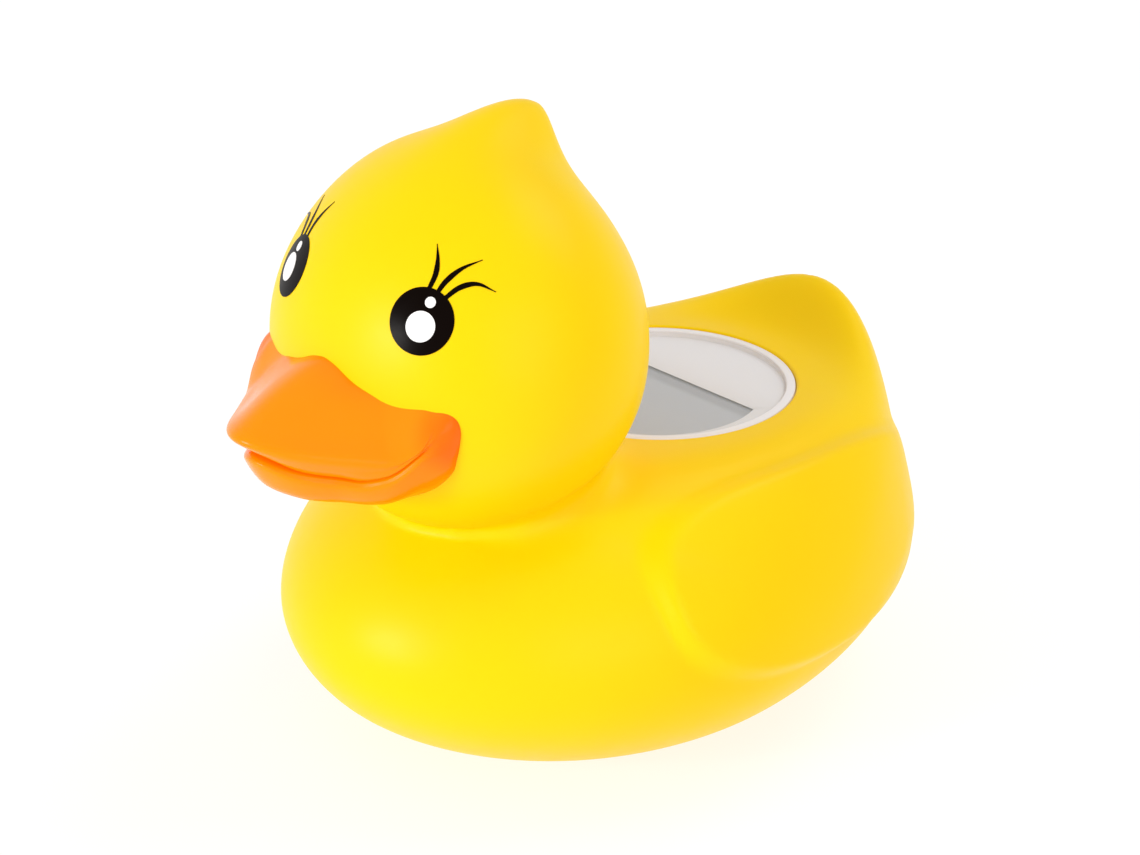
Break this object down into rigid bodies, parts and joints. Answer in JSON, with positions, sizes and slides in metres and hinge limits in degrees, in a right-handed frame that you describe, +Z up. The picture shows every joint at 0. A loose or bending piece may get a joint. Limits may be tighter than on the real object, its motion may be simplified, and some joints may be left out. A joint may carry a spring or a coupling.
{
  "type": "baby bath thermometer",
  "caption": "Floating duck-shaped bath thermometer with a round display module seated in its back and a sensing nose through its belly.",
  "frame": {"origin": "on the ground under the middle of the duck's outline", "axes": "+Z up, the duck looks along -Y, +X towards its left side"},
  "size_m": [0.0948, 0.1331, 0.1075],
  "materials": {
    "yellow_vinyl": "satin soft vinyl, bill painted orange",
    "white_abs": "semi-gloss",
    "clear_lens": "clear acrylic",
    "lcd_panel": "matt polariser",
    "black_rubber": "matt",
    "green_board": "solder mask",
    "black_epoxy": "semi-gloss",
    "stainless_steel": "satin",
    "spring_bronze": "satin",
    "red_insulation": "semi-gloss",
    "black_insulation": "semi-gloss"
  },
  "bodies": {
    "root": {"duck_shell": "yellow_vinyl", "display_bezel": "white_abs", "display_lens": "clear_lens", "bezel_seal": "black_rubber", "lcd_panel": "lcd_panel", "display_connector_1": "black_rubber", "display_connector_2": "black_rubber", "circuit_board": "green_board", "controller_chip": "black_epoxy", "board_screw_1": "stainless_steel", "board_screw_2": "stainless_steel", "board_screw_3": "stainless_steel", "board_screw_4": "stainless_steel", "module_housing": "white_abs", "battery_cell": "stainless_steel", "battery_contact_upper": "spring_bronze", "battery_contact_lower": "spring_bronze", "battery_cover": "white_abs", "cover_seal": "black_rubber", "cover_screw_1": "stainless_steel", "cover_screw_2": "stainless_steel", "probe_cap": "stainless_steel", "thermistor": "black_epoxy", "water_contact_1": "stainless_steel", "water_contact_2": "stainless_steel", "sensor_lead_1": "red_insulation", "sensor_lead_2": "red_insulation", "contact_lead_1": "black_insulation", "contact_lead_2": "black_insulation", "battery_lead_upper": "black_insulation", "battery_lead_lower": "red_insulation"}
  },
  "joints": []
}
